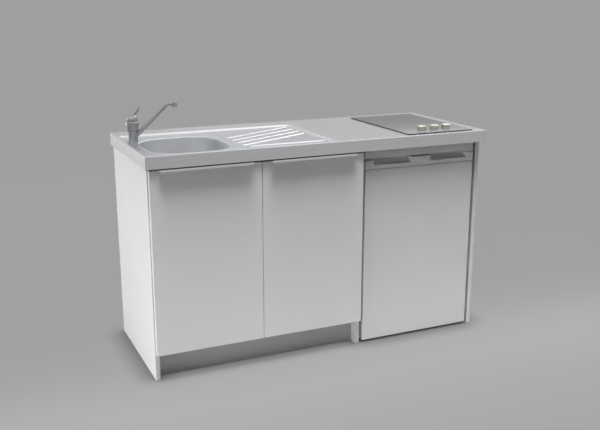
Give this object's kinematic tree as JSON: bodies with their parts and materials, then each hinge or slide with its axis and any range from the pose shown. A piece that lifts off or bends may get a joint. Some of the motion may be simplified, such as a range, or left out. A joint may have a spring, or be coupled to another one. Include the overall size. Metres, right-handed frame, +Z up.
{
  "type": "kitchen base unit with sink, hob and fridge",
  "caption": "Compact kitchen base unit with a steel sink worktop, mixer tap, inset hob, hinged cupboard doors and a built-under fridge.",
  "frame": {"origin": "middle of the footprint, on the floor", "axes": "+X along the worktop to the right, +Y towards the wall, +Z up; the doors face -Y"},
  "size_m": [1.5, 0.61, 1.058],
  "materials": {
    "white_board": "satin white melamine on board",
    "plinth_board": "satin light grey melamine on board",
    "core_board": "raw particle board",
    "steel": "brushed stainless sheet",
    "plated_steel": "zinc or nickel plated",
    "handle_metal": "satin anodised",
    "chrome": "polished chrome plating",
    "brass": "turned brass",
    "grey_plastic": "moulded",
    "hob_glass": "opaque glass ceramic",
    "heater": "pressed fibre dish",
    "cream_plastic": "moulded",
    "white_metal": "white powder coat",
    "white_plastic": "moulded",
    "cap_plastic": "moulded light grey",
    "foam": "rigid foam",
    "clear_plastic": "clear moulding",
    "shelf_glass": "clear toughened",
    "gasket_rubber": "soft magnetic seal",
    "black_metal": "black paint",
    "black_plastic": "moulded"
  },
  "bodies": {
    "unit": {"left_side_panel": "white_board", "divider_panel": "white_board", "end_panel": "white_board", "cabinet_floor": "white_board", "cabinet_back": "white_board", "front_rail": "white_board", "niche_front_rail": "white_board", "rear_rails": "white_board", "plinth": "plinth_board", "worktop_core": "core_board", "dowels": "core_board", "steel_top": "steel", "sink_bowl": "steel", "waste_body": "steel", "fixing_brackets": "plated_steel", "bracket_screws": "plated_steel", "hinge_arms": "plated_steel", "fridge_hinges": "plated_steel", "hob_tray": "plated_steel", "tap_column": "chrome", "tap_body": "chrome", "tap_nut": "brass", "tap_tails": "brass", "tap_cartridge": "grey_plastic", "hob_switches": "grey_plastic", "hob_glass": "hob_glass", "hob_heaters": "heater", "fridge_cabinet": "white_metal", "fridge_liner": "white_plastic", "fridge_thermostat": "white_plastic", "trap_body": "white_plastic", "trap_cup": "white_plastic", "trap_outlet": "white_plastic", "fridge_insulation": "foam", "fridge_crisper": "clear_plastic", "fridge_shelves": "shelf_glass", "fridge_compressor": "black_metal", "fridge_condenser": "black_metal", "fridge_feet": "black_plastic"},
    "left_door": {"left_door": "white_board", "left_door_handle": "handle_metal", "left_hinge_cups": "plated_steel"},
    "right_door": {"right_door": "white_board", "right_door_handle": "handle_metal", "right_hinge_cups": "plated_steel"},
    "fridge_door": {"fridge_door_skin": "white_metal", "fridge_door_insulation": "foam", "fridge_door_liner": "white_plastic", "fridge_door_caps": "cap_plastic", "fridge_gasket": "gasket_rubber", "fridge_door_bins": "clear_plastic"},
    "spout": {"tap_spout": "chrome", "tap_aerator": "chrome"},
    "lever_base": {"tap_lever_dome": "chrome"},
    "lever": {"tap_lever": "chrome"},
    "knob_1": {"hob_knob_1": "cream_plastic"},
    "knob_2": {"hob_knob_2": "cream_plastic"},
    "knob_3": {"hob_knob_3": "cream_plastic"},
    "strainer": {"sink_strainer": "steel"},
    "dial": {"fridge_dial": "white_plastic"}
  },
  "joints": [
    {"name": "left_door_swing", "type": "hinge", "parent": "unit", "child": "left_door", "pos_m": [-0.7291, -0.278, 0.4768], "axis": [0, 0, -1], "range_deg": [0, 95]},
    {"name": "right_door_swing", "type": "hinge", "parent": "unit", "child": "right_door", "pos_m": [0.1491, -0.278, 0.4768], "axis": [0, 0, 1], "range_deg": [0, 95]},
    {"name": "fridge_door_swing", "type": "hinge", "parent": "unit", "child": "fridge_door", "pos_m": [0.694, -0.25, 0.409], "axis": [0, 0, 1], "range_deg": [0, 105]},
    {"name": "tap_spout_swivel", "type": "hinge", "parent": "unit", "child": "spout", "pos_m": [-0.709, 0.055, 0.926], "axis": [0, 0, 1], "range_deg": [-70, 70]},
    {"name": "tap_lever_turn", "type": "hinge", "parent": "unit", "child": "lever_base", "pos_m": [-0.709, 0.055, 0.9873], "axis": [0, 0, 1], "range_deg": [-50, 50]},
    {"name": "tap_lever_lift", "type": "hinge", "parent": "lever_base", "child": "lever", "pos_m": [-0.709, 0.055, 0.9873], "axis": [-0.4226, -0.9063, 0], "range_deg": [0, 20]},
    {"name": "strainer_lift", "type": "slide", "parent": "unit", "child": "strainer", "axis": [0, 0, 1], "range_m": [0, 0.06]},
    {"name": "thermostat_turn", "type": "hinge", "parent": "unit", "child": "dial", "pos_m": [0.64, -0.039, 0.684], "axis": [1, 0, 0], "range_deg": [0, 270]},
    {"name": "hob_knob_1_turn", "type": "hinge", "parent": "unit", "child": "knob_1", "pos_m": [0.487, -0.196, 0.9], "axis": [0, 0, -1], "range_deg": [0, 300]},
    {"name": "hob_knob_2_turn", "type": "hinge", "parent": "unit", "child": "knob_2", "pos_m": [0.548, -0.196, 0.9], "axis": [0, 0, -1], "range_deg": [0, 300]},
    {"name": "hob_knob_3_turn", "type": "hinge", "parent": "unit", "child": "knob_3", "pos_m": [0.609, -0.196, 0.9], "axis": [0, 0, -1], "range_deg": [0, 300]}
  ]
}
